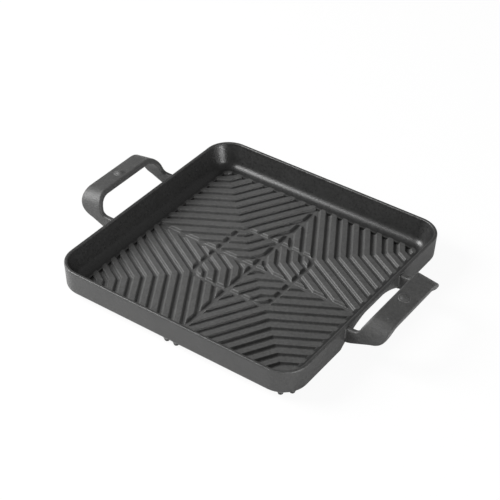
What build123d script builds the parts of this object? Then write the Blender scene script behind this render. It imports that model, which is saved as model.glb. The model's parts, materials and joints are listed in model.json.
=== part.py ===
from build123d import *
from math import atan2, cos, degrees, radians, sin, tan
import os

# Cast-iron square grill pan with two cast-in strap handles.
# Millimetres. X runs from the left handle to the right one, Z is up.
# The origin lies under the middle of the pan, on the plane of the feet tips.

# Tray
rim_side = 260.0
rim_corner_radius = 28.0
rim_thickness = 3.0
rim_round = 0.9
foot_height = 1.8
tray_height = 29.1
outer_draft = 6.9
bottom_round = 8.0
floor_under_grooves = 3.0
groove_depth = 2.7
inner_draft = 20.0
cove_radius = 9.5

# Ridge field
field_lap = 0.17
field_corner_radius = 12.0
field_margin = 0.8
plate_web = 1.0
ridge_pitch = 11.05
first_groove = 10.25
groove_top_width = 5.4
groove_wall_draft = 28.0
groove_overrun = 6.0
smallest_groove_area = 30.0
arm_angle = 30.0
channel_top_width = 6.0
ring_side = 85.0
ring_corner_radius = 12.0
ring_top_width = 5.6

# Handles
grip_top_height = 47.4
grip_gap = 19.6
grip_width = 20.2
grip_outer_drop = 3.2
grip_edge_height = 5.2
strap_thickness = 5.2
handle_length = 95.0
handle_bend_radius = 18.0
leg_root_top = 29.6
leg_root_bottom = 13.2
leg_root_depth = 7.0
leg_saddle_reach = 7.0
leg_knee_back = 6.6
leg_knee_rise = 5.2
leg_dip_reach = 6.0
leg_dip_rise = 2.2
leg_corner_reach = 31.2
leg_corner_height = 25.8
strap_edge_softening = 1.0

# Thumb bosses on the grips
boss_diameter = 8.6
boss_rise = 2.4
boss_dimple_diameter = 1.8
boss_dimple_depth = 0.5
boss_along_width = 0.42

# Feet
foot_base_diameter = 8.4
foot_tip_diameter = 4.0
foot_tip_round = 1.2
foot_pair_spacing = 10.2
foot_edge_inset = 7.0
foot_top_height = 6.0

# Finger scoops under the grips: one wide arch that also clears the leg roots
scoop_arch_radius = 78.5
scoop_top_gap = 3.4
scoop_wall = 2.3
scoop_knee_rise = 4.6
scoop_knee_inset = 2.6
scoop_foot_drop = 1.2
scoop_foot_inset = 4.0
scoop_overcut = 4.0

# Values that follow from the ones above
underside_z = foot_height
rim_z = underside_z + tray_height
groove_floor_z = underside_z + floor_under_grooves
ridge_top_z = groove_floor_z + groove_depth
plate_base_z = groove_floor_z - plate_web
rim_half = rim_side / 2
underside_half = rim_half - tray_height * tan(radians(outer_draft))
underside_corner_radius = rim_corner_radius - (rim_half - underside_half)
cavity_depth = rim_z - ridge_top_z
cavity_top_half = rim_half - rim_thickness
cavity_floor_half = cavity_top_half - cavity_depth * tan(radians(inner_draft))
cavity_corner_radius = rim_corner_radius - rim_thickness
cove_run = cove_radius * tan(radians(45 - inner_draft / 2))
field_half = cavity_floor_half - cove_run + field_lap
grip_inner_x = rim_half + grip_gap
grip_outer_x = grip_inner_x + grip_width
scoop_crown_z = rim_z - scoop_top_gap
clear_of_pan = 2 * grip_width


def rounded_square(half, radius, z):
    """A square face with rounded corners, centred on the Z axis at height z."""
    return Pos(0, 0, z) * RectangleRounded(2 * half, 2 * half, radius).face()


def outer_block():
    """The tray before hollowing: drafted walls and a rounded lower edge."""
    base = rounded_square(underside_half, underside_corner_radius, underside_z)
    block = extrude(base, amount=tray_height, taper=-outer_draft)
    lower = block.edges().group_by(Axis.Z)[0]
    return fillet(lower, bottom_round)


def cavity():
    """The inside space above the ridge tops, with the cove at its foot."""
    mouth = rounded_square(cavity_top_half, cavity_corner_radius, rim_z)
    space = extrude(mouth, amount=cavity_depth, dir=(0, 0, -1), taper=inner_draft)
    return fillet(space.edges().group_by(Axis.Z)[0], cove_radius)


def scoop():
    """The finger clearance cut into the right wall below its handle."""
    lean = radians(inner_draft)
    skin_x = cavity_floor_half + scoop_wall / cos(lean)
    foot_x = skin_x - scoop_foot_inset
    low_z = underside_z - scoop_overcut
    outside = rim_half + clear_of_pan
    section = Polyline(
        (foot_x - scoop_overcut, low_z),
        (foot_x, ridge_top_z - scoop_foot_drop),
        (skin_x + scoop_knee_inset * tan(lean), ridge_top_z + scoop_knee_rise),
        (skin_x + cavity_depth * tan(lean), rim_z),
        (outside, rim_z),
        (outside, low_z),
        close=True,
    )
    bar = extrude(Plane.XZ * make_face(section), amount=scoop_arch_radius, both=True)
    arch_plane = Plane(origin=(0, 0, scoop_crown_z), x_dir=(0, 1, 0), z_dir=(1, 0, 0))
    arch = Pos(0, -scoop_arch_radius) * Circle(scoop_arch_radius).face()
    return bar & extrude(arch_plane * arch, amount=outside)


def tray():
    """Floor, four walls and rim, with the recess that holds the ridge plates."""
    recess_face = rounded_square(field_half, field_corner_radius, plate_base_z)
    recess = extrude(recess_face, amount=ridge_top_z - plate_base_z + 0.5)
    hollow = outer_block() - cavity() - recess
    rim_edges = hollow.edges().group_by(Axis.Z)[-1]
    body = fillet(rim_edges, rim_round)
    cut = scoop()
    return body - cut - left_of(cut)


def chevron(level, half_width, reach, z):
    """One groove outline: two arms that meet on the quadrant's diagonal."""
    lean = radians(arm_angle)
    long_part, short_part = cos(lean), sin(lean)
    points = []
    for s in (level - half_width, level + half_width):
        knee = s / (long_part + short_part)
        end = (s + long_part * reach) / short_part
        points.append([(-reach, end), (knee, knee), (end, -reach)])
    near, far = points
    return Pos(0, 0, z) * make_face(Polyline(*near, *reversed(far), close=True))


def ring_outline():
    """The rounded-square ring channel, as a flat outline."""
    outer = rounded_square(
        (ring_side + ring_top_width) / 2, ring_corner_radius + ring_top_width / 2, ridge_top_z
    )
    inner = rounded_square(
        (ring_side - ring_top_width) / 2, ring_corner_radius - ring_top_width / 2, ridge_top_z
    )
    return outer - inner


def groove_outlines():
    """The outlines of every groove and channel that touches one quadrant."""
    limit = field_half - field_margin
    window = rounded_square(limit, field_corner_radius - field_margin, ridge_top_z)
    lean = radians(arm_angle)
    outlines = []
    level = first_groove
    while level - groove_top_width < limit * (cos(lean) + sin(lean)):
        outlines.append(chevron(level, groove_top_width / 2, groove_overrun, ridge_top_z) & window)
        level += ridge_pitch
    centre = (limit - groove_overrun) / 2
    length = limit + groove_overrun
    for turn in (0, 90):
        strip = Pos(centre, 0, ridge_top_z) * Rectangle(length, channel_top_width).face()
        outlines.append(Rot(0, 0, turn) * strip & window)
    corner = Pos(centre, centre, ridge_top_z) * Rectangle(length, length).face()
    outlines.append(ring_outline() & corner)
    return outlines


def groove_cutters():
    """Every groove and channel of one quadrant as drafted cutters."""
    down = (0, 0, -1)
    cutters = []
    for outline in groove_outlines():
        for piece in outline.faces():
            if piece.area > smallest_groove_area:
                cutters.append(extrude(piece, amount=groove_depth, dir=down, taper=groove_wall_draft))
    return cutters


def ridge_quadrant():
    """The ridge plate of the quadrant with positive X and Y."""
    base = Pos(field_half / 2, field_half / 2, plate_base_z) * Rectangle(field_half, field_half).face()
    base = base & rounded_square(field_half, field_corner_radius, plate_base_z)
    plate = extrude(base, amount=ridge_top_z - plate_base_z)
    for cutter in groove_cutters():
        plate = plate - cutter
    return plate


def bail():
    """The strap bent to its bridge shape, seen along X and drawn through."""
    height = 2 * grip_top_height
    inner_width = handle_length - 2 * strap_thickness
    inner_bend = handle_bend_radius - strap_thickness
    outer = RectangleRounded(handle_length, height, handle_bend_radius).face()
    inner = RectangleRounded(inner_width, height, inner_bend).face()
    frame = outer - Pos(0, -strap_thickness) * inner
    tilt = atan2(grip_outer_drop, grip_width)
    run = grip_gap + leg_root_depth
    plane = Plane(
        origin=(grip_inner_x - run, 0, grip_top_height - height / 2 + run * tan(tilt)),
        x_dir=(0, 1, 0),
        z_dir=(1, 0, 0),
    )
    length = (run + clear_of_pan) / cos(tilt)
    return extrude(plane * frame, amount=length, dir=(cos(tilt), 0, -sin(tilt)))


def side_outline():
    """The handle's outline seen along Y: root, rising leg and grip."""
    inside_wall = rim_half - leg_root_depth
    high = grip_top_height + strap_thickness
    saddle = (rim_half + leg_saddle_reach, leg_root_top)
    knee = (grip_inner_x - leg_knee_back, leg_root_top + leg_knee_rise)
    grip_edge = (grip_outer_x, grip_top_height - grip_edge_height)
    corner = (rim_half + leg_corner_reach, leg_corner_height)
    dip = (rim_half + leg_dip_reach, leg_root_bottom + leg_dip_rise)
    lines = [
        Line((inside_wall, leg_root_top), saddle),
        TangentArc(saddle, knee, tangent=(1, 0)),
        Line(knee, (grip_inner_x, grip_top_height)),
        Line((grip_inner_x, grip_top_height), (grip_inner_x, high)),
        Line((grip_inner_x, high), (grip_outer_x, high)),
        Line((grip_outer_x, high), grip_edge),
        TangentArc(grip_edge, corner, tangent=(0, -1)),
        Line(corner, dip),
        Line(dip, (inside_wall, leg_root_bottom)),
        Line((inside_wall, leg_root_bottom), (inside_wall, leg_root_top)),
    ]
    return make_face(lines)


def handle():
    """The right handle: one strap with both legs run into the wall."""
    side = extrude(Plane.XZ * side_outline(), amount=handle_length, both=True)
    strap = bail() & side
    free_edges = strap.edges().filter_by_position(Axis.X, rim_half, grip_outer_x + strap_thickness)
    strap = chamfer(free_edges, strap_edge_softening)
    return strap - outer_block()


def grip_plane():
    """The plane of the grip's top face, placed where the boss stands."""
    fall = grip_outer_drop / grip_width
    run = boss_along_width * grip_width
    centre = (grip_inner_x + run, 0, grip_top_height - run * fall)
    return Plane(origin=centre, x_dir=(0, 1, 0), z_dir=(fall, 0, 1))


def boss():
    """The right grip's domed boss with a small dimple in its crown."""
    radius = boss_diameter / 2
    ball_radius = (radius**2 + boss_rise**2) / (2 * boss_rise)
    ball = Pos(0, 0, boss_rise - ball_radius) * Sphere(ball_radius)
    keep = Pos(0, 0, boss_rise) * Box(2 * boss_diameter, 2 * boss_diameter, 2 * boss_rise)
    dimple_radius = boss_dimple_diameter / 2
    dimple = Pos(0, 0, boss_rise - boss_dimple_depth + dimple_radius) * Sphere(dimple_radius)
    return grip_plane() * ((ball & keep) - dimple)


def foot(x, y):
    """One cast foot nub, cut to the tray's rounded lower edge."""
    cone = Cone(foot_tip_diameter / 2, foot_base_diameter / 2, foot_top_height)
    tip = cone.edges().group_by(Axis.Z)[0]
    nub = Pos(x, y, foot_top_height / 2) * fillet(tip, foot_tip_round)
    return nub - outer_block()


def corner_feet(sign_x, sign_y):
    """A pair of nubs set along one rounded corner."""
    arc_centre = rim_half - rim_corner_radius
    arc_radius = rim_corner_radius - foot_edge_inset
    half_angle = degrees(foot_pair_spacing / 2 / arc_radius)
    nubs = []
    for angle in (45 - half_angle, 45 + half_angle):
        x = arc_centre + arc_radius * cos(radians(angle))
        y = arc_centre + arc_radius * sin(radians(angle))
        nubs.append(foot(sign_x * x, sign_y * y))
    return Compound(children=nubs)


def side_feet(sign_y):
    """A pair of nubs at the middle of the front or back wall."""
    y = sign_y * (rim_half - foot_edge_inset)
    nubs = [foot(x, y) for x in (-foot_pair_spacing / 2, foot_pair_spacing / 2)]
    return Compound(children=nubs)


def left_of(part):
    """The mirror image of a right-hand piece."""
    return mirror(part, about=Plane.YZ)


def front_of(part):
    """The mirror image of a rear piece."""
    return mirror(part, about=Plane.XZ)


ridges = ridge_quadrant()
strap = handle()
dome = boss()
pieces = {
    "pan_tray": tray(),
    "ridges_back_right": ridges,
    "ridges_back_left": left_of(ridges),
    "ridges_front_right": front_of(ridges),
    "ridges_front_left": front_of(left_of(ridges)),
    "handle_right": strap,
    "handle_left": left_of(strap),
    "boss_right": dome,
    "boss_left": left_of(dome),
    "feet_back_right": corner_feet(1, 1),
    "feet_back_left": corner_feet(-1, 1),
    "feet_front_right": corner_feet(1, -1),
    "feet_front_left": corner_feet(-1, -1),
    "feet_back_middle": side_feet(1),
    "feet_front_middle": side_feet(-1),
}
os.makedirs("parts", exist_ok=True)
for name, piece in pieces.items():
    export_step(piece, f"parts/{name}.step")
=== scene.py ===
"""Looks of a square cast-iron grill pan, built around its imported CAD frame.

The pan is one iron casting: a low tray with a coved inside, four ridge plates that
form a star of angled ridges, two strap handles with a thumb boss each, and small
foot nubs. Every length below is in metres and every place is in the frame's own axes.
"""

import json
import logging
import math
from dataclasses import dataclass, field
from enum import Enum

import bmesh
import bpy
from mathutils import Matrix, Vector

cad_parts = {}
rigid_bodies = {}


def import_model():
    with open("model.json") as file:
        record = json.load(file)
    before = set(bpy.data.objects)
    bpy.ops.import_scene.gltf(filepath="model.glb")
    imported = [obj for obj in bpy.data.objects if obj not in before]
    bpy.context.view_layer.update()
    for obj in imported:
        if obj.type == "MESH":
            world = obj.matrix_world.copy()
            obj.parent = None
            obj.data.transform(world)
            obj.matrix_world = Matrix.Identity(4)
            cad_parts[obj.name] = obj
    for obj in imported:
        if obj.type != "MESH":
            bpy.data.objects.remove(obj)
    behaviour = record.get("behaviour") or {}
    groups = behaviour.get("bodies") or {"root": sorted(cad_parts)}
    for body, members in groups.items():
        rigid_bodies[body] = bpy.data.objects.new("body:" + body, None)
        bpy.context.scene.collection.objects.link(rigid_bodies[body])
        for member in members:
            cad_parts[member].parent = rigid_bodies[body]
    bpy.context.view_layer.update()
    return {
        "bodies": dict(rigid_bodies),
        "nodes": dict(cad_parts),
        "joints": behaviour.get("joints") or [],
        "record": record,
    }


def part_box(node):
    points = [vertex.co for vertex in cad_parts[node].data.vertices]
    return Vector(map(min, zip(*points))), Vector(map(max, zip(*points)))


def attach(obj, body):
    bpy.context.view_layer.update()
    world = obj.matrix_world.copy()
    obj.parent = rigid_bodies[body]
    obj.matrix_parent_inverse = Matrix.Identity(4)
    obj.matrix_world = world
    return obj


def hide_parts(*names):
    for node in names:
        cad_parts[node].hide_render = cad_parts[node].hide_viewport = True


LOG = logging.getLogger("grill_pan")
MM = 0.001

Socket = bpy.types.NodeSocket
Tree = bpy.types.NodeTree
Span = tuple[float, float]
Outline = list[tuple[float, float]]


class Side(Enum):
    """The two ends of the pan that carry a handle."""

    RIGHT = 1
    LEFT = -1

    @property
    def word(self) -> str:
        """The side's name as the frame's nodes spell it."""
        return self.name.lower()


class Quarter(Enum):
    """The four ridge plates, named by the corner each lies in."""

    BACK_RIGHT = "ridges_back_right"
    BACK_LEFT = "ridges_back_left"
    FRONT_RIGHT = "ridges_front_right"
    FRONT_LEFT = "ridges_front_left"


# Shared shader nodes


def new_group(name: str, inputs: dict[str, float], outputs: tuple[str, ...]) -> Tree:
    """Make an empty shader node group with named number sockets.

    Args:
        name: The group's name.
        inputs: Each input socket's name and default value.
        outputs: Each output socket's name.

    Returns:
        The node group, with its input and output nodes in place.
    """
    group = bpy.data.node_groups.new(name, "ShaderNodeTree")
    for socket, value in inputs.items():
        made = group.interface.new_socket(name=socket, in_out="INPUT", socket_type="NodeSocketFloat")
        made.default_value = value
    for socket in outputs:
        group.interface.new_socket(name=socket, in_out="OUTPUT", socket_type="NodeSocketFloat")
    group.nodes.new("NodeGroupInput")
    group.nodes.new("NodeGroupOutput")
    return group


def math_node(tree: Tree, kind: str, first: Socket | float, second: Socket | float) -> Socket:
    """Add one math node.

    Args:
        tree: The tree to add to.
        kind: The operation.
        first: A socket or a number.
        second: A socket or a number.

    Returns:
        The node's output socket.
    """
    node = tree.nodes.new("ShaderNodeMath")
    node.operation = kind
    for slot, value in zip(node.inputs, (first, second)):
        if isinstance(value, Socket):
            tree.links.new(value, slot)
        else:
            slot.default_value = value
    return node.outputs[0]


def remap(tree: Tree, source: Socket, given: Span, wanted: Span) -> Socket:
    """Map a value smoothly from one range to another.

    Args:
        tree: The tree to add to.
        source: The socket that is mapped.
        given: Start and end of the source range.
        wanted: Results at the start and at the end.

    Returns:
        The node's result socket.
    """
    node = tree.nodes.new("ShaderNodeMapRange")
    node.interpolation_type = "SMOOTHSTEP"
    tree.links.new(source, node.inputs["Value"])
    for socket, value in zip(("From Min", "From Max", "To Min", "To Max"), given + wanted):
        node.inputs[socket].default_value = value
    return node.outputs["Result"]


def noise(tree: Tree, place: Socket, size: float, detail: float = 2.0, rough: float = 0.5) -> Socket:
    """Add a noise texture whose features are about the given size.

    Args:
        tree: The tree to add to.
        place: The coordinate socket.
        size: Width of a feature.
        detail: Number of finer octaves.
        rough: Weight of the finer octaves.

    Returns:
        The noise value socket.
    """
    node = tree.nodes.new("ShaderNodeTexNoise")
    node.inputs["Scale"].default_value = 1.0 / size
    node.inputs["Detail"].default_value = detail
    node.inputs["Roughness"].default_value = rough
    tree.links.new(place, node.inputs["Vector"])
    return node.outputs["Fac"]


@dataclass(frozen=True)
class SandGrain:
    """The sand mould's grain: a height, a tone and a gloss change.

    Attributes:
        fine_size: Width of the finest grains.
        medium_size: Width of the middling grains.
        broad_size: Width of the cloudy patches.
        pit_spacing: Distance between casting pits.
        fine_detail: Finer octaves of the finest grains.
        fine_weight: Weight of these octaves.
        fine_share: Share of the finest grains in the height.
        middle: Range of a noise's common values.
        pit_edge: Distances from a pit's middle where its floor ends and its edge lies.
        pit_patch: Range of the cloudy noise over which pits come in.
        cloud_tone: Greatest tone change of the cloudy patches.
        grain_tone: Greatest tone change of the grains.
        medium_gloss: Greatest roughness change of the middling grains.
        fine_gloss: Greatest roughness change of the finest grains.
    """

    fine_size: float = 0.7 * MM
    medium_size: float = 2.4 * MM
    broad_size: float = 22 * MM
    pit_spacing: float = 2.1 * MM
    fine_detail: float = 3.0
    fine_weight: float = 0.6
    fine_share: float = 0.55
    middle: Span = (0.3, 0.7)
    pit_edge: Span = (0.05, 0.22)
    pit_patch: Span = (0.45, 0.62)
    cloud_tone: float = 0.06
    grain_tone: float = 0.28
    medium_gloss: float = 0.04
    fine_gloss: float = 0.05

    def swing(self, group: Tree, source: Socket, amount: float) -> Socket:
        """Turn a noise into a change of at most the given amount either way."""
        return remap(group, source, self.middle, (-amount, amount))

    def pits(self, group: Tree, place: Socket, cloud: Socket) -> Socket:
        """Scatter small casting pits over the cloudy patches.

        Args:
            group: The group to add to.
            place: The coordinate socket.
            cloud: The cloudy noise.

        Returns:
            The pits' depth.
        """
        amount = group.nodes["Group Input"].outputs["Pits"]
        cells = group.nodes.new("ShaderNodeTexVoronoi")
        cells.inputs["Scale"].default_value = 1.0 / self.pit_spacing
        group.links.new(place, cells.inputs["Vector"])
        pit = remap(group, cells.outputs["Distance"], self.pit_edge, (1.0, 0.0))
        gate = remap(group, cloud, self.pit_patch, (0.0, 1.0))
        return math_node(group, "MULTIPLY", pit, math_node(group, "MULTIPLY", gate, amount))

    def build(self) -> Tree:
        """Make the node group.

        Returns:
            The node group.
        """
        group = new_group("sand_cast_grain", {"Coarseness": 1.0, "Pits": 0.5}, ("Height", "Tone", "Gloss"))
        coarseness = group.nodes["Group Input"].outputs["Coarseness"]
        result = group.nodes["Group Output"]
        place = group.nodes.new("ShaderNodeTexCoord").outputs["Object"]
        fine = noise(group, place, self.fine_size, self.fine_detail, self.fine_weight)
        medium = noise(group, place, self.medium_size)
        cloud = noise(group, place, self.broad_size)
        fine_part = math_node(group, "MULTIPLY", fine, self.fine_share)
        medium_part = math_node(group, "MULTIPLY", medium, 1 - self.fine_share)
        grain = math_node(group, "ADD", fine_part, medium_part)
        height = math_node(group, "MULTIPLY", grain, coarseness)
        height = math_node(group, "SUBTRACT", height, self.pits(group, place, cloud))
        group.links.new(height, result.inputs["Height"])
        cloud_part = self.swing(group, cloud, self.cloud_tone)
        tone = math_node(group, "ADD", cloud_part, self.swing(group, grain, self.grain_tone))
        group.links.new(tone, result.inputs["Tone"])
        medium_part = self.swing(group, medium, self.medium_gloss)
        gloss = math_node(group, "ADD", medium_part, self.swing(group, fine, self.fine_gloss))
        group.links.new(gloss, result.inputs["Gloss"])
        return group


@dataclass(frozen=True)
class EdgeRub:
    """The lighter rub that handling leaves on a casting's sharp edges.

    Attributes:
        patch_size: Width of the breaks in the rub.
        patch_detail: Finer octaves of these breaks.
        patch_weight: Weight of these octaves.
        edge_range: Pointiness at which the rub starts and is full.
        patch_range: Noise at which a break ends and the rub is full.
        least: Share of the rub that is left inside a break.
    """

    patch_size: float = 3.0 * MM
    patch_detail: float = 3.0
    patch_weight: float = 0.6
    edge_range: Span = (0.513, 0.58)
    patch_range: Span = (0.35, 0.65)
    least: float = 0.35

    def build(self) -> Tree:
        """Make the node group.

        Returns:
            The node group.
        """
        group = new_group("edge_rub", {"Amount": 1.0}, ("Mask",))
        amount = group.nodes["Group Input"].outputs["Amount"]
        point = group.nodes.new("ShaderNodeNewGeometry").outputs["Pointiness"]
        place = group.nodes.new("ShaderNodeTexCoord").outputs["Object"]
        edge = remap(group, point, self.edge_range, (0.0, 1.0))
        patches = noise(group, place, self.patch_size, self.patch_detail, self.patch_weight)
        broken = remap(group, patches, self.patch_range, (self.least, 1.0))
        mask = math_node(group, "MULTIPLY", math_node(group, "MULTIPLY", edge, broken), amount)
        group.links.new(mask, group.nodes["Group Output"].inputs["Mask"])
        return group


# Finishes


@dataclass(frozen=True)
class IronFinish:
    """One finish of the cast iron.

    Attributes:
        name: The material's name.
        tone: Linear grey of the bare surface.
        roughness: Middle roughness.
        coarseness: Strength of the sand grain.
        rub_tone: Linear grey of a rubbed edge.
        pits: Strength of the small casting pits.
        rub: Strength of the edge rub.
        relief: Height of the grain.
        warmth: Blue as a share of red and green.
        index: Refractive index of the seasoned surface.
        specular: Level of the surface's own reflection.
    """

    name: str
    tone: float
    roughness: float
    coarseness: float
    rub_tone: float = 0.10
    pits: float = 0.5
    rub: float = 0.8
    relief: float = 0.24 * MM
    warmth: float = 0.985
    index: float = 1.5
    specular: float = 0.5

    def colour(self, tree: Tree, change: Socket, mask: Socket) -> Socket:
        """Mix the iron's grey from its grain and its rub.

        Args:
            tree: The material's tree.
            change: The grain's tone change.
            mask: The rub's mask.

        Returns:
            The colour socket.
        """
        shade = math_node(tree, "MULTIPLY", math_node(tree, "ADD", change, 1.0), self.tone)
        lift = math_node(tree, "MULTIPLY", mask, self.rub_tone - self.tone)
        shade = math_node(tree, "ADD", shade, lift)
        colour = tree.nodes.new("ShaderNodeCombineColor")
        tree.links.new(shade, colour.inputs["Red"])
        tree.links.new(shade, colour.inputs["Green"])
        tree.links.new(math_node(tree, "MULTIPLY", shade, self.warmth), colour.inputs["Blue"])
        return colour.outputs["Color"]

    def build(self, grain: Tree, rub: Tree) -> bpy.types.Material:
        """Make the material.

        Args:
            grain: The sand grain group.
            rub: The edge rub group.

        Returns:
            The new material.
        """
        material = bpy.data.materials.new(self.name)
        material.use_nodes = True
        tree = material.node_tree
        shader = tree.nodes["Principled BSDF"]
        shader.inputs["Specular IOR Level"].default_value = self.specular
        shader.inputs["IOR"].default_value = self.index
        grained = tree.nodes.new("ShaderNodeGroup")
        grained.node_tree = grain
        grained.inputs["Coarseness"].default_value = self.coarseness
        grained.inputs["Pits"].default_value = self.pits
        rubbed = tree.nodes.new("ShaderNodeGroup")
        rubbed.node_tree = rub
        rubbed.inputs["Amount"].default_value = self.rub
        colour = self.colour(tree, grained.outputs["Tone"], rubbed.outputs["Mask"])
        tree.links.new(colour, shader.inputs["Base Color"])
        rough = math_node(tree, "ADD", grained.outputs["Gloss"], self.roughness)
        tree.links.new(rough, shader.inputs["Roughness"])
        bump = tree.nodes.new("ShaderNodeBump")
        bump.inputs["Distance"].default_value = self.relief
        bump.inputs["Strength"].default_value = 1.0
        tree.links.new(grained.outputs["Height"], bump.inputs["Height"])
        tree.links.new(bump.outputs["Normal"], shader.inputs["Normal"])
        return material


@dataclass
class Foundry:
    """Makes every finish once and holds the materials.

    Attributes:
        materials: Each finish's material by name.
    """

    materials: dict[str, bpy.types.Material] = field(default_factory=dict)

    def pour(self) -> None:
        """Make every finish once."""
        grain = SandGrain().build()
        rub = EdgeRub().build()
        finishes = (
            IronFinish("iron_tray", tone=0.035, roughness=0.38, coarseness=1.6, rub_tone=0.26),
            # The cooking side's finish is a darker copy of the iron: its low tone is painted shade of the
            # pan's inside, and its lower roughness is the seasoned surface's gloss.
            IronFinish("iron_inside_shaded", tone=0.019, roughness=0.34, coarseness=0.7, pits=0.1),
            IronFinish("iron_ridges", tone=0.07, roughness=0.47, coarseness=0.9, pits=0.25),
            IronFinish("iron_handles", tone=0.049, roughness=0.48, coarseness=1.8, pits=0.7),
        )
        for finish in finishes:
            self.materials[finish.name] = finish.build(grain, rub)
            LOG.info("finish %s", finish.name)


# Mesh helpers


def object_from(name: str, form: bmesh.types.BMesh) -> bpy.types.Object:
    """Turn a bmesh into a smooth-shaded object.

    Args:
        name: The object's name.
        form: The bmesh, freed afterwards.

    Returns:
        The new object, linked to the scene.
    """
    bmesh.ops.recalc_face_normals(form, faces=form.faces)
    mesh = bpy.data.meshes.new(name)
    form.to_mesh(mesh)
    form.free()
    piece = bpy.data.objects.new(name, mesh)
    bpy.context.scene.collection.objects.link(piece)
    for face in mesh.polygons:
        face.use_smooth = True
    return piece


def bake_modifiers(piece: bpy.types.Object) -> None:
    """Replace the object's mesh by its evaluated mesh.

    Args:
        piece: The object with modifiers.
    """
    graph = bpy.context.evaluated_depsgraph_get()
    mesh = bpy.data.meshes.new_from_object(piece.evaluated_get(graph))
    piece.modifiers.clear()
    piece.data = mesh


def crease_by_angle(piece: bpy.types.Object, degrees: float) -> None:
    """Keep edges sharper than an angle crisp in the shading.

    Args:
        piece: The object.
        degrees: The angle.
    """
    limit = math.radians(degrees)
    form = bmesh.new()
    form.from_mesh(piece.data)
    for edge in form.edges:
        edge.smooth = len(edge.link_faces) != 2 or edge.calc_face_angle(0.0) < limit
    form.to_mesh(piece.data)
    form.free()


def copy_node(frame: dict, node: str, name: str, weld: float, flat_degrees: float) -> bpy.types.Object:
    """Copy a frame node's mesh with its flat areas merged into single faces.

    Args:
        frame: The loaded frame.
        node: The CAD node's name.
        name: The new object's name.
        weld: Greatest distance between points that are one.
        flat_degrees: Greatest angle between faces that are one.

    Returns:
        The new object.
    """
    source = frame["nodes"][node]
    form = bmesh.new()
    form.from_mesh(source.data)
    form.transform(source.matrix_world)
    bmesh.ops.remove_doubles(form, verts=form.verts, dist=weld)
    bmesh.ops.dissolve_limit(
        form,
        angle_limit=math.radians(flat_degrees),
        verts=form.verts,
        edges=form.edges,
        use_dissolve_boundaries=False,
    )
    return object_from(name, form)


def turned(form: bmesh.types.BMesh, profile: Outline, steps: int, place: Matrix) -> None:
    """Add a surface of revolution.

    Args:
        form: The bmesh to add to.
        profile: Radius and height of each ring; the last one is the tip.
        steps: Number of stretches round the axis.
        place: Where the form stands.
    """
    rings = []
    for radius, height in profile[:-1]:
        ring = []
        for step in range(steps):
            angle = 2 * math.pi * step / steps
            point = Vector((radius * math.cos(angle), radius * math.sin(angle), height))
            ring.append(form.verts.new(place @ point))
        rings.append(ring)
    tip = form.verts.new(place @ Vector((0, 0, profile[-1][1])))
    for low, high in zip(rings, rings[1:]):
        for index in range(steps):
            after = (index + 1) % steps
            form.faces.new((low[index], low[after], high[after], high[index]))
    for index in range(steps):
        form.faces.new((rings[-1][index], rings[-1][(index + 1) % steps], tip))
    form.faces.new(list(reversed(rings[0])))


# The pan


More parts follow.
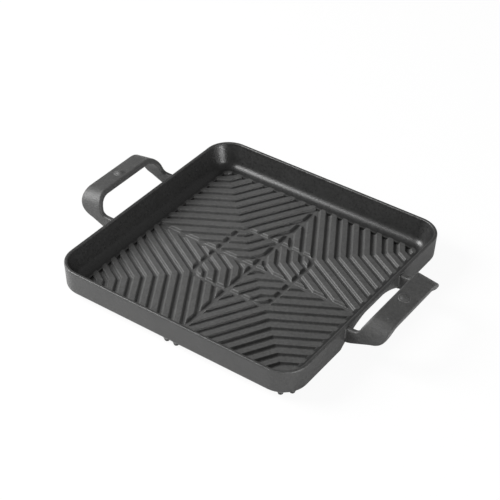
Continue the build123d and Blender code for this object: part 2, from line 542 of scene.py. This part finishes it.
@dataclass
class TrayShell:
    """Floor, walls, rim and finger scoops, swept round one rounded square.

    Attributes:
        arc_centre: Distance from the pan's middle to a corner arc's centre, each way.
        underside: Height of the flat underside.
        panel_half: Half the width of the flat underside.
        panel_inset: Width of the last ring inside that flat.
        lower_edge: Height at which the walls' lower rounding starts.
        bottom_round: Radius of this rounding.
        bottom_start: Angle at which it starts, in degrees.
        ridge_top: Height of the ridge tops.
        rim_top: Height of the rim.
        rim_half: Half the rim's outer width.
        rim_thickness: Thickness of the rim.
        rim_round: Radius of the rim's two edges.
        outer_draft: Lean of the walls' outer side.
        inner_draft: Lean of the walls' inner side.
        outer_stop: Depth below the rim where the outer wall's rings stop, in rim roundings.
        inner_start: Depth below the rim where the inner wall's rings start, in rim roundings.
        cove_radius: Radius of the inside corner.
        ledge_half: Half the width at which the cove's floor ends under the ridge plates.
        ledge_drop: Depth of that floor below the ridge tops, to keep the faces apart.
        hidden_floor: Height of the floor under the ridge plates.
        slope_steps: Rings of the slope round the underside.
        bottom_steps: Rings of the lower rounding.
        outer_steps: Rings of the outer wall.
        rim_steps: Rings of each rim edge.
        inner_steps: Rings of the inner wall.
        cove_steps: Rings of the cove.
        corner_steps: Stretches of a corner arc in plan.
        wall_step: Length of a stretch along a wall.
        crease: Angle of an edge that stays crisp, in degrees.
        scoop_radius: Radius of the scoops' arch.
        scoop_crown: Height of the arch.
        scoop_blend: Depth over which a scoop's edge softens.
        scoop_points: Height and distance from the middle along a scoop's surface.
    """

    arc_centre: float = 104.4 * MM
    underside: float = 1.8 * MM
    panel_half: float = 106 * MM
    panel_inset: float = 0.8 * MM
    lower_edge: float = 6.0 * MM
    bottom_round: float = 2.8 * MM
    bottom_start: float = -82
    ridge_top: float = 7.5 * MM
    rim_top: float = 30.9 * MM
    rim_half: float = 129.9 * MM
    rim_thickness: float = 3 * MM
    rim_round: float = 1.3 * MM
    outer_draft: float = math.radians(2.6)
    inner_draft: float = math.radians(20)
    outer_stop: float = 1.2
    inner_start: float = 1.3
    cove_radius: float = 9.5 * MM
    ledge_half: float = 109.6 * MM
    ledge_drop: float = 0.02 * MM
    hidden_floor: float = 4.4 * MM
    slope_steps: int = 6
    bottom_steps: int = 9
    outer_steps: int = 16
    rim_steps: int = 5
    inner_steps: int = 10
    cove_steps: int = 12
    corner_steps: int = 20
    wall_step: float = 1.6 * MM
    crease: float = 50
    scoop_radius: float = 78.5 * MM
    scoop_crown: float = 27.5 * MM
    scoop_blend: float = 2.2 * MM
    scoop_points: tuple[Span, ...] = (
        (-3.2 * MM, 112.9 * MM),
        (6.3 * MM, 116.9 * MM),
        (12.1 * MM, 121.9 * MM),
        (30.9 * MM, 129.4 * MM),
    )

    def outer_half(self, z: float) -> float:
        """Half the outer width at a height."""
        return self.rim_half - (self.rim_top - z) * math.tan(self.outer_draft)

    def inner_half(self, z: float) -> float:
        """Half the inner width at a height, before the cove."""
        return self.rim_half - self.rim_thickness - (self.rim_top - z) * math.tan(self.inner_draft)

    def arc(self, centre: Span, radius: float, start: float, end: float, steps: int) -> Outline:
        """Points of a circular arc in the wall's section.

        Args:
            centre: The arc's middle as width and height.
            radius: Its radius.
            start: First angle in degrees.
            end: Last angle in degrees.
            steps: Number of stretches.

        Returns:
            The points, from start to end.
        """
        points = []
        for step in range(steps + 1):
            angle = math.radians(start + (end - start) * step / steps)
            points.append((centre[0] + radius * math.cos(angle), centre[1] + radius * math.sin(angle)))
        return points

    def outer_section(self) -> Outline:
        """The wall's section from the underside up to the rim.

        Returns:
            Width and height of each ring.
        """
        low = self.lower_edge + self.bottom_round
        middle = self.outer_half(low) - self.bottom_round / math.cos(self.outer_draft)
        points = [(self.panel_half - self.panel_inset, self.underside)]
        for step in range(self.slope_steps + 1):
            share = step / self.slope_steps
            half = self.panel_half + (middle - self.panel_half) * share
            points.append((half, self.underside + (self.lower_edge - self.underside) * share))
        end = -math.degrees(self.outer_draft)
        points += self.arc((middle, low), self.bottom_round, self.bottom_start, end, self.bottom_steps)
        top = self.rim_top - self.rim_round * self.outer_stop
        for step in range(1, self.outer_steps):
            z = low + (top - low) * step / self.outer_steps
            points.append((self.outer_half(z), z))
        return points

    def rim_section(self) -> Outline:
        """The rim's section, from its outer edge over the top to its inner edge.

        Returns:
            Width and height of each ring.
        """
        z = self.rim_top - self.rim_round
        outer = self.outer_half(z) - self.rim_round
        inner = self.inner_half(z) + self.rim_round
        points = self.arc((outer, z), self.rim_round, 0, 90, self.rim_steps)
        points += self.arc((inner, z), self.rim_round, 90, 180, self.rim_steps)
        return points

    def inner_section(self) -> Outline:
        """The section from the rim down the inner wall and the cove to the hidden floor.

        Returns:
            Width and height of each ring.
        """
        turn = 90 - math.degrees(self.inner_draft)
        reach = self.cove_radius * math.tan(math.radians(turn / 2))
        centre = (self.inner_half(self.ridge_top) - reach, self.ridge_top + self.cove_radius)
        cove = self.arc(centre, self.cove_radius, -math.degrees(self.inner_draft), -90, self.cove_steps)
        top = self.rim_top - self.rim_round * self.inner_start
        points = []
        for step in range(1, self.inner_steps):
            z = top + (cove[0][1] - top) * step / self.inner_steps
            points.append((self.inner_half(z), z))
        points += cove
        points.append((self.ledge_half, self.ridge_top - self.ledge_drop))
        points.append((self.ledge_half, self.hidden_floor))
        return points

    def ring(self, half: float) -> Outline:
        """One rounded-square ring in plan.

        Args:
            half: Half its width.

        Returns:
            The points, counter-clockwise from the right side's foot.
        """
        radius = max(half - self.arc_centre, 0.0)
        flat = half - radius
        count = int(2 * self.arc_centre / self.wall_step)
        side = []
        for step in range(count):
            side.append((half, -flat + 2 * flat * step / count))
        for step in range(self.corner_steps):
            angle = math.radians(90 * step / self.corner_steps)
            side.append((flat + radius * math.cos(angle), flat + radius * math.sin(angle)))
        points = []
        for turn in range(4):
            cosine = round(math.cos(math.pi / 2 * turn))
            sine = round(math.sin(math.pi / 2 * turn))
            points += [(x * cosine - y * sine, x * sine + y * cosine) for x, y in side]
        return points

    def scoop_x(self, z: float) -> float:
        """Where the scoop's surface lies at a height.

        Args:
            z: The height.

        Returns:
            The distance from the pan's middle.
        """
        for (z0, x0), (z1, x1) in zip(self.scoop_points, self.scoop_points[1:]):
            if z <= z1:
                return x0 + (x1 - x0) * (z - z0) / (z1 - z0)
        return self.scoop_points[-1][1]

    def scooped(self, place: Vector) -> Vector:
        """Push a point of the outer skin back to the finger scoop.

        Args:
            place: The point.

        Returns:
            The moved point.
        """
        side = 1 if place.x > 0 else -1
        x = abs(place.x)
        limit = self.scoop_x(place.z)
        if x <= limit or abs(place.y) >= self.scoop_radius:
            return place
        below = self.scoop_radius - math.hypot(place.y, place.z - self.scoop_crown + self.scoop_radius)
        depth = below / self.scoop_blend
        if depth <= 0:
            return place
        part = min(depth, 1.0)
        part = part * part * (3 - 2 * part)
        return Vector((side * (x - (x - limit) * part), place.y, place.z))

    def build(self, outside: bpy.types.Material, inside: bpy.types.Material) -> bpy.types.Object:
        """Make the tray.

        Args:
            outside: The finish of the walls' outer side, the rim and the underside.
            inside: The cooking side's finish, a glossier copy of the iron whose darker tone is painted
                shade of the pan's inside.

        Returns:
            The tray object.
        """
        form = bmesh.new()
        rings = []
        section = self.outer_section() + self.rim_section() + self.inner_section()
        highest = max(range(len(section)), key=lambda i: section[i][1])
        for index, (half, z) in enumerate(section):
            ring = []
            for x, y in self.ring(half):
                place = Vector((x, y, z))
                if index <= highest:
                    place = self.scooped(place)
                ring.append(form.verts.new(place))
            rings.append(ring)
        # Faces from the rim's inner rounding down take the second, darker finish, whose darkness is
        # painted shade of the pan's inside.
        inside_start = highest + self.rim_steps
        for step, (low, high) in enumerate(zip(rings, rings[1:])):
            for index in range(len(low)):
                after = (index + 1) % len(low)
                face = form.faces.new((low[index], low[after], high[after], high[index]))
                face.material_index = int(step >= inside_start)
        form.faces.new(rings[0])
        form.faces.new(rings[-1]).material_index = 1
        piece = object_from("pan_tray_shell", form)
        crease_by_angle(piece, self.crease)
        piece.data.materials.append(outside)
        piece.data.materials.append(inside)
        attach(piece, "root")
        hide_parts("pan_tray")
        return piece


def eased_ramp(value: float, ease: float) -> float:
    """A ramp that starts with a short parabola instead of a corner.

    Args:
        value: Place along the ramp, 0 at its foot.
        ease: Reach of the parabola to either side of the foot.

    Returns:
        The ramp's height there.
    """
    if value <= -ease:
        return 0.0
    if value >= ease:
        return value
    return (value + ease) ** 2 / (4 * ease)


@dataclass
class RidgeField:
    """The star of angled ridges, cast as four plates of one height map.

    Attributes:
        half: Half the field's width.
        base: Height of the plates' underside.
        top: Height of the ridge tops.
        depth: Depth of every groove.
        first_groove: Distance from the middle to the first groove.
        pitch: Distance between grooves.
        groove_half: Half a groove's width at the ridge tops.
        channel_half: Half the width of the two crossing channels.
        ring_half: Half the width of the rounded-square ring.
        ring_corner: Its corner radius.
        ring_channel_half: Half the ring channel's width.
        wall_run: Width of a groove's sloping wall in plan.
        ease: Rounding of the wall's two ends as a share of its run.
        arm_angle: Angle of the grooves' arms to the axes.
        cells: Number of mesh cells along a plate's side.
        normal_step: Distance over which the surface's direction is measured.
    """

    half: float = 112 * MM
    base: float = 3.8 * MM
    top: float = 7.5 * MM
    depth: float = 2.7 * MM
    first_groove: float = 10.25 * MM
    pitch: float = 11.05 * MM
    groove_half: float = 2.7 * MM
    channel_half: float = 3.0 * MM
    ring_half: float = 42.5 * MM
    ring_corner: float = 12 * MM
    ring_channel_half: float = 2.8 * MM
    wall_run: float = 1.2 * MM
    ease: float = 0.3
    arm_angle: float = math.radians(30)
    cells: int = 190
    normal_step: float = 0.03 * MM

    def cut(self, distance: float, half_width: float) -> float:
        """Share of the full depth at a distance from a groove's middle."""
        run = (half_width - distance) / self.wall_run
        return eased_ramp(run, self.ease) - eased_ramp(run - 1, self.ease)

    def ring_distance(self, x: float, y: float) -> float:
        """Distance from a place to the ring channel's middle line.

        Args:
            x: Distance from the middle to the right.
            y: Distance from the middle to the back.

        Returns:
            The distance.
        """
        flat = self.ring_half - self.ring_corner
        dx = x - flat
        dy = y - flat
        outside = math.hypot(max(dx, 0), max(dy, 0)) + min(max(dx, dy), 0)
        return abs(outside - self.ring_corner)

    def height(self, x: float, y: float) -> float:
        """Height of the cast surface at a place of the back right quarter.

        Args:
            x: Distance from the middle to the right.
            y: Distance from the middle to the back.

        Returns:
            The height above the ground.
        """
        level = math.cos(self.arm_angle) * min(x, y) + math.sin(self.arm_angle) * max(x, y)
        count = max(round((level - self.first_groove) / self.pitch), 0)
        share = self.cut(abs(level - self.first_groove - count * self.pitch), self.groove_half)
        share = max(share, self.cut(min(abs(x), abs(y)), self.channel_half))
        share = max(share, self.cut(self.ring_distance(x, y), self.ring_channel_half))
        return self.top - self.depth * share

    def normal(self, x: float, y: float) -> Vector:
        """The surface's direction at a place, from two near heights each way.

        Args:
            x: Distance from the middle to the right.
            y: Distance from the middle to the back.

        Returns:
            The unit normal.
        """
        step = self.normal_step
        rise_x = self.height(x + step, y) - self.height(x - step, y)
        rise_y = self.height(x, y + step) - self.height(x, y - step)
        return Vector((-rise_x, -rise_y, 2 * step)).normalized()

    def grid(self) -> tuple[list[Vector], list[Vector]]:
        """Measure the back right quarter, row by row.

        Returns:
            The grid's places and the surface's directions there.
        """
        places = []
        normals = []
        for row in range(self.cells + 1):
            for column in range(self.cells + 1):
                x = self.half * column / self.cells
                y = self.half * row / self.cells
                places.append(Vector((x, y, self.height(x, y))))
                normals.append(self.normal(x, y))
        return places, normals

    def skirt(self, side: int) -> tuple[list[tuple[int, ...]], list[int]]:
        """Faces from the grid's border down to a flat underside.

        Args:
            side: Number of grid places along a side.

        Returns:
            The faces, and the border's grid indices in order.
        """
        last = side - 1
        border = list(range(side))
        border += [row * side + last for row in range(1, side)]
        border += [last * side + column for column in range(last - 1, -1, -1)]
        border += [row * side for row in range(last - 1, 0, -1)]
        first_low = side * side
        faces = []
        for index, here in enumerate(border):
            after = (index + 1) % len(border)
            faces.append((here, first_low + index, first_low + after, border[after]))
        faces.append(tuple(first_low + index for index in range(len(border) - 1, -1, -1)))
        return faces, border

    def plate(self, quarter: Quarter, places: list[Vector], normals: list[Vector]) -> bpy.types.Object:
        """Turn the grid into one quarter's closed plate.

        Args:
            quarter: The quarter to make.
            places: The back right quarter's places.
            normals: Its directions.

        Returns:
            The plate.
        """
        across = 1 if "right" in quarter.value else -1
        along = 1 if "back" in quarter.value else -1
        side = self.cells + 1
        faces = []
        for row in range(self.cells):
            for column in range(self.cells):
                near = row * side + column
                faces.append((near, near + 1, near + side + 1, near + side))
        grid_faces = len(faces)
        low_faces, border = self.skirt(side)
        faces += low_faces
        spots = [Vector((across * p.x, along * p.y, p.z)) for p in places]
        spots += [Vector((spots[index].x, spots[index].y, self.base)) for index in border]
        if across * along < 0:
            faces = [tuple(reversed(face)) for face in faces]
        mesh = bpy.data.meshes.new(f"{quarter.value}_cast")
        mesh.from_pydata(spots, [], faces)
        mirrored = [Vector((across * n.x, along * n.y, n.z)) for n in normals]
        corner_normals = []
        for face in mesh.polygons:
            on_top = face.index < grid_faces
            face.use_smooth = on_top
            for vertex in face.vertices:
                corner_normals.append(mirrored[vertex] if on_top else Vector((0, 0, 0)))
        mesh.normals_split_custom_set(corner_normals)
        piece = bpy.data.objects.new(mesh.name, mesh)
        bpy.context.scene.collection.objects.link(piece)
        return piece

    def build(self, material: bpy.types.Material) -> list[bpy.types.Object]:
        """Make the plates.

        Args:
            material: Their finish.

        Returns:
            One object per quarter.
        """
        places, normals = self.grid()
        made = []
        for quarter in Quarter:
            piece = self.plate(quarter, places, normals)
            piece.data.materials.append(material)
            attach(piece, "root")
            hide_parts(quarter.value)
            made.append(piece)
        return made


@dataclass
class StrapHandle:
    """One cast strap handle, softened and flared into the wall.

    Attributes:
        side: The end of the pan that it is on.
        weld: Greatest distance between points of the solid that are one.
        flat_degrees: Greatest angle between faces of the solid that are one.
        skin_size: Width of a cell of the new skin.
        smoothing: Number of smoothing passes.
        smooth_share: Strength of each pass.
        wall_foot: Lowest height of the flare at a leg's root.
        wall_head: Its highest.
        wall_depth: Depth of the slab that makes it.
        wall_sink: Distance of the slab below the wall's face.
        root_spread: Half its width along the wall.
        root_middle: Distance of a leg's middle from the pan's middle.
    """

    side: Side
    weld: float = 0.01 * MM
    flat_degrees: float = 0.6
    skin_size: float = 0.55 * MM
    smoothing: int = 4
    smooth_share: float = 0.5
    wall_foot: float = 18 * MM
    wall_head: float = 29.2 * MM
    wall_depth: float = 3 * MM
    wall_sink: float = 0.12 * MM
    root_spread: float = 7 * MM
    root_middle: float = 44.9 * MM

    def wall_patch(self, form: bmesh.types.BMesh, tray: TrayShell, y: float) -> None:
        """Add a slab inside the wall, so that the leg flares where they join.

        Args:
            form: The bmesh to add to.
            tray: The tray the wall belongs to.
            y: Middle of the slab along the wall.
        """
        corners = []
        for z in (self.wall_foot, self.wall_head):
            face = tray.outer_half(z) - self.wall_sink
            for x in (face - self.wall_depth, face):
                for dy in (-self.root_spread, self.root_spread):
                    corners.append(form.verts.new((self.side.value * x, y + dy, z)))
        for loop in ((0, 1, 3, 2), (4, 6, 7, 5), (0, 4, 5, 1), (2, 3, 7, 6), (0, 2, 6, 4), (1, 5, 7, 3)):
            form.faces.new([corners[i] for i in loop])

    def build(self, frame: dict, tray: TrayShell, material: bpy.types.Material) -> bpy.types.Object:
        """Make the handle.

        Args:
            frame: The loaded frame.
            tray: The tray it grows from.
            material: Its finish.

        Returns:
            The handle object.
        """
        node = f"handle_{self.side.word}"
        piece = copy_node(frame, node, f"{node}_strap", self.weld, self.flat_degrees)
        form = bmesh.new()
        form.from_mesh(piece.data)
        for y in (-self.root_middle, self.root_middle):
            self.wall_patch(form, tray, y)
        bmesh.ops.recalc_face_normals(form, faces=form.faces)
        form.to_mesh(piece.data)
        form.free()
        skin = piece.modifiers.new("skin", "REMESH")
        skin.mode = "VOXEL"
        skin.voxel_size = self.skin_size
        soft = piece.modifiers.new("soft", "SMOOTH")
        soft.factor = self.smooth_share
        soft.iterations = self.smoothing
        bake_modifiers(piece)
        for face in piece.data.polygons:
            face.use_smooth = True
        piece.data.materials.clear()
        piece.data.materials.append(material)
        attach(piece, "root")
        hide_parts(node)
        return piece


@dataclass
class ThumbBoss:
    """The domed boss on a grip, with a dimple in its crown.

    Attributes:
        side: The end of the pan that it is on.
        steps: Stretches round its axis.
        crown_steps: Rings from its foot to its crown.
        radius: Radius of the dome.
        flare: Width of the soft skirt round it.
        sink: Depth of the skirt below the grip.
        lip: Width of the step at the dome's foot.
        lip_rise: Height of this step.
        dimple_depth: Depth of the dimple.
        dimple_half: Half the dimple's width.
        grip_fall: Fall of the grip's top over its width.
        grip_width: Width of the grip.
    """

    side: Side
    steps: int = 40
    crown_steps: int = 15
    radius: float = 4.3 * MM
    flare: float = 1.5 * MM
    sink: float = 0.5 * MM
    lip: float = 0.4 * MM
    lip_rise: float = 0.15 * MM
    dimple_depth: float = 0.35 * MM
    dimple_half: float = 0.8 * MM
    grip_fall: float = 3.2 * MM
    grip_width: float = 20.2 * MM

    def profile(self, rise: float) -> Outline:
        """The dome's outline from its skirt to the dimple.

        Args:
            rise: Height of the dome.

        Returns:
            Radius and height of each ring.
        """
        ball = (self.radius**2 + rise**2) / (2 * rise)
        skirt = self.radius + self.flare
        points = [(skirt, -self.sink), (skirt, 0.0), (self.radius + self.lip, self.lip_rise)]
        for step in range(1, self.crown_steps):
            angle = math.asin(self.radius / ball) * (1 - step / self.crown_steps)
            out = ball * math.sin(angle)
            dip = self.dimple_depth * math.exp(-((out / self.dimple_half) ** 2))
            points.append((out, ball * math.cos(angle) - (ball - rise) - dip))
        points.append((0.0, rise - self.dimple_depth))
        return points

    def build(self, material: bpy.types.Material) -> bpy.types.Object:
        """Make the boss.

        Args:
            material: Its finish.

        Returns:
            The boss object.
        """
        node = f"boss_{self.side.word}"
        low, high = (Vector(corner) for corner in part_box(node))
        middle = (low + high) / 2
        tilt = math.atan(self.grip_fall / self.grip_width) * self.side.value
        rise = (high.z - low.z) - 2 * self.radius * math.sin(abs(tilt))
        middle.z -= rise / 2
        place = Matrix.Translation(middle) @ Matrix.Rotation(tilt, 4, "Y")
        form = bmesh.new()
        turned(form, self.profile(rise), self.steps, place)
        piece = object_from(f"{node}_dome", form)
        piece.data.materials.append(material)
        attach(piece, "root")
        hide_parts(node)
        return piece


@dataclass
class FootNubs:
    """The small nubs along the lower edge that the pan stands on.

    Attributes:
        corner_nodes: The pairs at the four corners.
        side_nodes: The pairs at the middle of the back and front walls.
        arc_centre: Distance from the pan's middle to a corner arc's centre, each way.
        arc_radius: Radius of the arc that a corner pair stands on.
        side_reach: Distance from the pan's middle to a side pair.
        half_gap: Half the distance between the two nubs of a pair.
        steps: Stretches round a nub's axis.
        base_radius: Radius where the nub meets the pan.
        tip_radius: Radius that its taper runs to at the ground.
        height: Height of a nub.
        tip_ease: Radius of its rounded tip.
        tip_steps: Rings of that rounding.
        crease: Angle of an edge that stays crisp, in degrees.
    """

    corner_nodes: tuple[str, ...] = (
        "feet_back_right",
        "feet_back_left",
        "feet_front_right",
        "feet_front_left",
    )
    side_nodes: tuple[str, ...] = ("feet_back_middle", "feet_front_middle")
    arc_centre: float = 102 * MM
    arc_radius: float = 21 * MM
    side_reach: float = 123 * MM
    half_gap: float = 5.1 * MM
    steps: int = 28
    base_radius: float = 4.2 * MM
    tip_radius: float = 2.0 * MM
    height: float = 6.0 * MM
    tip_ease: float = 1.2 * MM
    tip_steps: int = 6
    crease: float = 60

    def nub(self, form: bmesh.types.BMesh, x: float, y: float) -> None:
        """Add one nub with its rounded tip on the ground.

        Args:
            form: The bmesh to add to.
            x: Its place across.
            y: Its place along.
        """
        profile = [(self.base_radius, self.height)]
        wide = self.tip_radius + (self.base_radius - self.tip_radius) * self.tip_ease / self.height
        profile.append(((self.base_radius + wide) / 2, (self.height + self.tip_ease) / 2))
        for step in range(self.tip_steps + 1):
            angle = math.radians(90 * step / self.tip_steps)
            out = wide - self.tip_ease * (1 - math.cos(angle))
            profile.append((out, self.tip_ease * (1 - math.sin(angle))))
        profile.append((0.0, 0.0))
        turned(form, profile, self.steps, Matrix.Translation((x, y, 0)))

    def build(self, material: bpy.types.Material) -> list[bpy.types.Object]:
        """Make every pair of nubs.

        Args:
            material: Their finish.

        Returns:
            One object per pair.
        """
        made = []
        half_angle = self.half_gap / self.arc_radius
        for node in self.corner_nodes + self.side_nodes:
            across = 1 if "right" in node else -1
            along = 1 if "back" in node else -1
            form = bmesh.new()
            for sign in (-1, 1):
                if node in self.side_nodes:
                    self.nub(form, sign * self.half_gap, along * self.side_reach)
                else:
                    angle = math.pi / 4 + sign * half_angle
                    x = self.arc_centre + self.arc_radius * math.cos(angle)
                    y = self.arc_centre + self.arc_radius * math.sin(angle)
                    self.nub(form, across * x, along * y)
            piece = object_from(f"{node}_nubs", form)
            crease_by_angle(piece, self.crease)
            piece.data.materials.append(material)
            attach(piece, "root")
            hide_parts(node)
            made.append(piece)
        return made


# The studio


@dataclass(frozen=True)
class SoftLamp:
    """One square soft lamp that faces the pan.

    Attributes:
        name: The lamp's name.
        place: Where it hangs.
        size: Its width.
        power: Its power in watts.
        aim_height: Height of the place that it faces, over the pan's middle.
    """

    name: str
    place: tuple[float, float, float]
    size: float
    power: float
    aim_height: float = 20 * MM

    def hang(self) -> None:
        """Make the lamp and turn it to the pan."""
        data = bpy.data.lights.new(self.name, "AREA")
        data.shape = "SQUARE"
        data.size = self.size
        data.energy = self.power
        lamp = bpy.data.objects.new(self.name, data)
        lamp.location = self.place
        line = Vector(self.place) - Vector((0, 0, self.aim_height))
        lamp.rotation_euler = line.to_track_quat("Z", "Y").to_euler()
        bpy.context.scene.collection.objects.link(lamp)


@dataclass
class Studio:
    """Camera, white floor and soft lamps.

    Attributes:
        azimuth: The camera's turn round the pan, in degrees.
        elevation: Its angle above the ground, in degrees.
        roll: Its turn about its own axis, in degrees.
        distance: Its distance from the place that it faces.
        lens: Its focal length in millimetres.
        sensor: Its sensor's width in millimetres.
        focal_pixels: The same focal length in pixels of a 500 pixel wide picture.
        aim_across_pixels: Shift of the view to the side, in the same pixels.
        aim_down_pixels: Shift of the view downwards, in the same pixels.
        aim_height: Height of the place that the camera faces.
        floor_half: Half the floor's width.
        floor_drop: Depth of the floor below the feet.
        floor_grey: Linear grey of the floor.
        floor_roughness: Roughness of the floor.
        white_share: Share of plain white in the floor as the camera sees it.
        sky_level: Strength of the white room's light.
        lamps: The soft lamps.
    """

    azimuth: float = 34.655
    elevation: float = 37.823
    roll: float = 1.15
    distance: float = 1.30521
    lens: float = 101.36
    sensor: float = 36
    focal_pixels: float = 1407.72
    aim_across_pixels: float = 3.288
    aim_down_pixels: float = 17.268
    aim_height: float = 4.8 * MM
    floor_half: float = 6.0
    floor_drop: float = 0.2 * MM
    floor_grey: float = 0.93
    floor_roughness: float = 0.9
    white_share: float = 0.93
    sky_level: float = 0.27
    lamps: tuple[SoftLamp, ...] = (
        SoftLamp("soft_left", (-1.15, -0.55, 0.96), size=0.8, power=38),
        SoftLamp("low_right", (1.3, -0.3, 0.17), size=0.5, power=17),
    )

    def camera(self) -> bpy.types.Object:
        """Place the camera at the photograph's viewing angle.

        Returns:
            The camera.
        """
        turn, rise, roll = (math.radians(v) for v in (self.azimuth, self.elevation, self.roll))
        back = Vector((math.sin(turn) * math.cos(rise), -math.cos(turn) * math.cos(rise), math.sin(rise)))
        right = Vector((math.cos(turn), math.sin(turn), 0))
        up = back.cross(right)
        right, up = (
            right * math.cos(roll) + up * math.sin(roll),
            up * math.cos(roll) - right * math.sin(roll),
        )
        place = back * self.distance
        place -= right * (self.aim_across_pixels / self.focal_pixels * self.distance)
        place += up * (self.aim_down_pixels / self.focal_pixels * self.distance)
        place.z += self.aim_height
        data = bpy.data.cameras.new("camera")
        data.lens = self.lens
        data.sensor_width = self.sensor
        eye = bpy.data.objects.new("camera", data)
        axes = Matrix((right, up, back)).transposed()
        eye.matrix_world = Matrix.Translation(place) @ axes.to_4x4()
        bpy.context.scene.collection.objects.link(eye)
        bpy.context.scene.camera = eye
        return eye

    def floor_finish(self) -> bpy.types.Material:
        """Make the floor's white, which stays white before the camera and keeps the shadow.

        Returns:
            The material.
        """
        material = bpy.data.materials.new("white_floor")
        material.use_nodes = True
        tree = material.node_tree
        shader = tree.nodes["Principled BSDF"]
        shader.inputs["Base Color"].default_value = (self.floor_grey, self.floor_grey, self.floor_grey, 1)
        shader.inputs["Roughness"].default_value = self.floor_roughness
        shader.inputs["Specular IOR Level"].default_value = 0.0
        glow = tree.nodes.new("ShaderNodeEmission")
        mix = tree.nodes.new("ShaderNodeMixShader")
        seen = tree.nodes.new("ShaderNodeLightPath")
        share = math_node(tree, "MULTIPLY", seen.outputs["Is Camera Ray"], self.white_share)
        tree.links.new(share, mix.inputs["Fac"])
        tree.links.new(shader.outputs["BSDF"], mix.inputs[1])
        tree.links.new(glow.outputs["Emission"], mix.inputs[2])
        tree.links.new(mix.outputs["Shader"], tree.nodes["Material Output"].inputs["Surface"])
        return material

    def floor(self) -> bpy.types.Object:
        """Lay the white floor.

        Returns:
            The floor object.
        """
        form = bmesh.new()
        corners = []
        for x, y in ((-1, -1), (1, -1), (1, 1), (-1, 1)):
            corners.append(form.verts.new((x * self.floor_half, y * self.floor_half, -self.floor_drop)))
        form.faces.new(corners)
        floor = object_from("white_floor", form)
        floor.data.materials.append(self.floor_finish())
        return floor

    def room(self) -> None:
        """Light the white room evenly."""
        world = bpy.data.worlds.new("white_room")
        world.use_nodes = True
        sky = world.node_tree.nodes["Background"]
        sky.inputs["Color"].default_value = (1, 1, 1, 1)
        sky.inputs["Strength"].default_value = self.sky_level
        bpy.context.scene.world = world

    def build(self) -> None:
        """Set up the whole studio."""
        self.camera()
        self.floor()
        for lamp in self.lamps:
            lamp.hang()
        self.room()
        bpy.context.scene.view_settings.view_transform = "Standard"


def main() -> None:
    """Build the pan and its studio in order."""
    logging.basicConfig(level=logging.INFO, format="%(name)s: %(message)s")
    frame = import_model()
    foundry = Foundry()
    foundry.pour()
    iron = foundry.materials
    tray = TrayShell()
    made = [tray.build(iron["iron_tray"], iron["iron_inside_shaded"])]
    made += RidgeField().build(iron["iron_ridges"])
    for side in Side:
        made.append(StrapHandle(side).build(frame, tray, iron["iron_handles"]))
        made.append(ThumbBoss(side).build(iron["iron_handles"]))
    made += FootNubs().build(iron["iron_tray"])
    for piece in made:
        LOG.info("made %s", piece.name)
    Studio().build()


if __name__ == "__main__":
    main()
